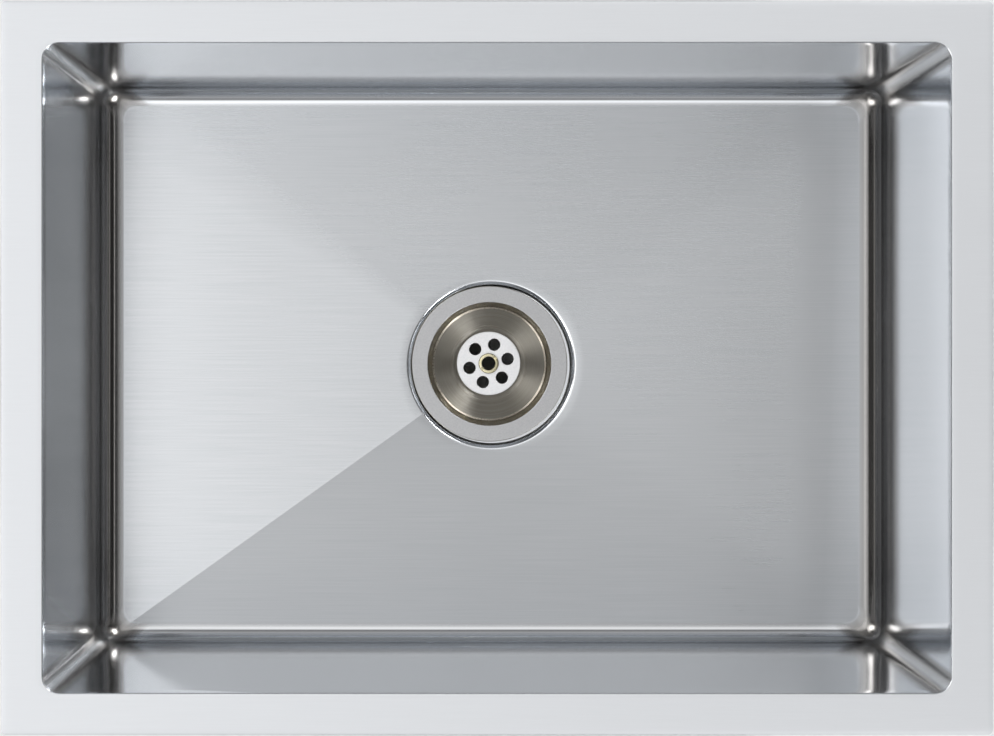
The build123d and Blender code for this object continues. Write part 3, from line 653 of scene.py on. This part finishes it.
def lean(component):
    """The angle by which a direction leans from straight up towards +X or +Y, in degrees."""
    angle = add(tree, "ShaderNodeMath", {0: component, 1: parts.outputs["Z"]}, operation="ARCTAN2")
    degrees = add(tree, "ShaderNodeMath", {0: angle.outputs["Value"], 1: 180 / math.pi}, operation="MULTIPLY")
    return degrees.outputs["Value"]


lean_x, lean_y = lean(parts.outputs["X"]), lean(parts.outputs["Y"])


def softbox(x, y, half_x, half_y, soft, level):
    """A light with soft edges overhead. Its middle and half sizes are angles of lean from straight up."""
    cover = level
    for value, middle, half in ((lean_x, x, half_x), (lean_y, y, half_y)):
        away = add(tree, "ShaderNodeMath", {0: value, 1: middle}, operation="SUBTRACT")
        span = add(tree, "ShaderNodeMath", {0: away.outputs["Value"]}, operation="ABSOLUTE")
        within = add(tree, "ShaderNodeMapRange", {"Value": span.outputs["Value"], "From Min": half - soft,
                                                  "From Max": half + soft, "To Min": 1.0, "To Max": 0.0},
                     interpolation_type="SMOOTHSTEP")
        product = add(tree, "ShaderNodeMath", {0: cover, 1: within.outputs["Result"]}, operation="MULTIPLY")
        cover = product.outputs["Value"]
    return cover


# Over the bowl a wide softbox, with two brighter ones at its left and weak ones in front and behind. Low over both
# long sides a broad fill, and at both ends narrow strips, which draw the lines in the bends. The last four are strong
# and low between the sides, where the cup, the corners and the satin rim catch them.
overhead = 0.05
for light in (
    (0, 0, 12.3, 38, 4.5, 0.67),
    (-14, 0, 8, 24, 12, 0.72),
    (-17, 0, 4.5, 28, 3, 1.45),
    (-9, -20, 6, 9, 3, 0.35),
    (5, -24, 9, 7, 5, 0.42),
    (3, 24, 12, 7, 5, 0.5),
    (0, 66, 30, 22, 8, 0.3),
    (0, -66, 30, 22, 8, 0.3),
    (34, 0, 1.2, 12, 1, 1.5),
    (62, 0, 1.2, 12, 1, 1.2),
    (-30, 0, 1.2, 12, 1, 1.6),
    (-67, 0, 1.5, 30, 1.2, 0.9),
    (34, 41, 6, 9, 3, 18.0),
    (34, -41, 6, 9, 3, 18.0),
    (-45, 28, 14, 11, 4, 5.5),
    (-45, -28, 14, 11, 4, 5.5),
):
    overhead = add(tree, "ShaderNodeMath", {0: overhead, 1: softbox(*light)}, operation="ADD").outputs["Value"]
# Pale walls of the studio round the horizon, and a pale backdrop that only the camera sees
pale = add(tree, "ShaderNodeMapRange", {"Value": parts.outputs["Z"], "From Min": 0.3, "From Max": 0.42,
                                        "To Min": 0.3, "To Max": 0.0}, interpolation_type="SMOOTHSTEP")
level = add(tree, "ShaderNodeMath", {0: overhead, 1: pale.outputs["Result"]}, operation="MAXIMUM")
rays = add(tree, "ShaderNodeLightPath")
shown = add(tree, "ShaderNodeMix", {FACTOR: rays.outputs["Is Camera Ray"], FIRST_VALUE: level.outputs["Value"],
                                    SECOND_VALUE: 0.85}).outputs[MIXED_VALUE]
studio = add(tree, "ShaderNodeCombineColor", {"Red": shown, "Green": shown, "Blue": shown})
lit = add(tree, "ShaderNodeBackground", {"Color": studio.outputs["Color"], "Strength": 1.0})
add(tree, "ShaderNodeOutputWorld", {"Surface": lit.outputs["Background"]})

camera_data = bpy.data.cameras.new("camera")
camera_data.sensor_width = 36.0
camera_data.lens = 82.72
# The photograph's centre lies a little right of and below the point under its lens
camera_data.shift_x = 0.0453
camera_data.shift_y = -0.0252
camera = bpy.data.objects.new("camera", camera_data)
camera.location = (-0.027, 0.015, 1.370)
bpy.context.scene.collection.objects.link(camera)
bpy.context.scene.camera = camera
bpy.context.scene.view_settings.view_transform = "Standard"
